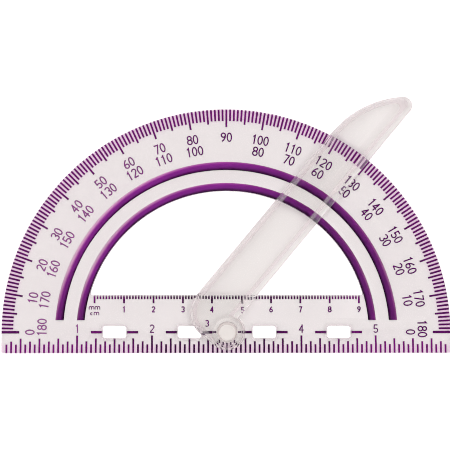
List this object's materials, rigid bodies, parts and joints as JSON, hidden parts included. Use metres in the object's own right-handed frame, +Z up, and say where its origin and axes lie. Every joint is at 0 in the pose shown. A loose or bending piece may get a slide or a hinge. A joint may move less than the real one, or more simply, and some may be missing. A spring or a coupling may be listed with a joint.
{
  "type": "swing arm protractor",
  "caption": "Clear plastic half-round protractor with a bevelled swing arm on a centre pivot, purple degree rows, and inch and centimetre scales.",
  "frame": {"origin": "vertex of the degree scale, on the pivot's axis at the plane that the protractor rests on", "axes": "+X along the base line towards the end marked 180 on the outer row, +Y towards the 90 degree mark, +Z up from the paper through the pivot pin"},
  "size_m": [0.1524, 0.0877, 0.0043],
  "materials": {
    "clear_plate": "polished clear polystyrene moulding",
    "clear_arm": "polished clear polystyrene moulding",
    "clear_pivot": "polished clear polystyrene moulding",
    "arc_ink": "glossy purple foil in a moulded groove",
    "scale_ink": "glossy purple hot-stamped foil"
  },
  "bodies": {
    "plate": {"body_plate": "clear_plate", "pivot_pin": "clear_pivot", "pivot_collar": "clear_pivot", "outer_arc": "arc_ink", "inner_arc": "arc_ink", "degree_ticks": "scale_ink", "five_degree_ticks": "scale_ink", "ten_degree_ticks": "scale_ink", "base_degree_ticks": "scale_ink", "outer_degree_numerals": "scale_ink", "inner_degree_numerals": "scale_ink", "inch_sixteenth_ticks": "scale_ink", "inch_eighth_ticks": "scale_ink", "inch_quarter_ticks": "scale_ink", "inch_whole_ticks": "scale_ink", "inch_numerals": "scale_ink", "middle_inch_numeral": "scale_ink", "millimetre_ticks": "scale_ink", "centimetre_ticks": "scale_ink", "centimetre_numerals": "scale_ink", "unit_letters": "scale_ink", "baseline_dashes": "scale_ink"},
    "arm": {"swing_arm": "clear_arm"}
  },
  "joints": [
    {"name": "arm_swing", "type": "hinge", "parent": "plate", "child": "arm", "pos_m": [0, 0, 0], "axis": [0, 0, 1], "continuous": true}
  ]
}
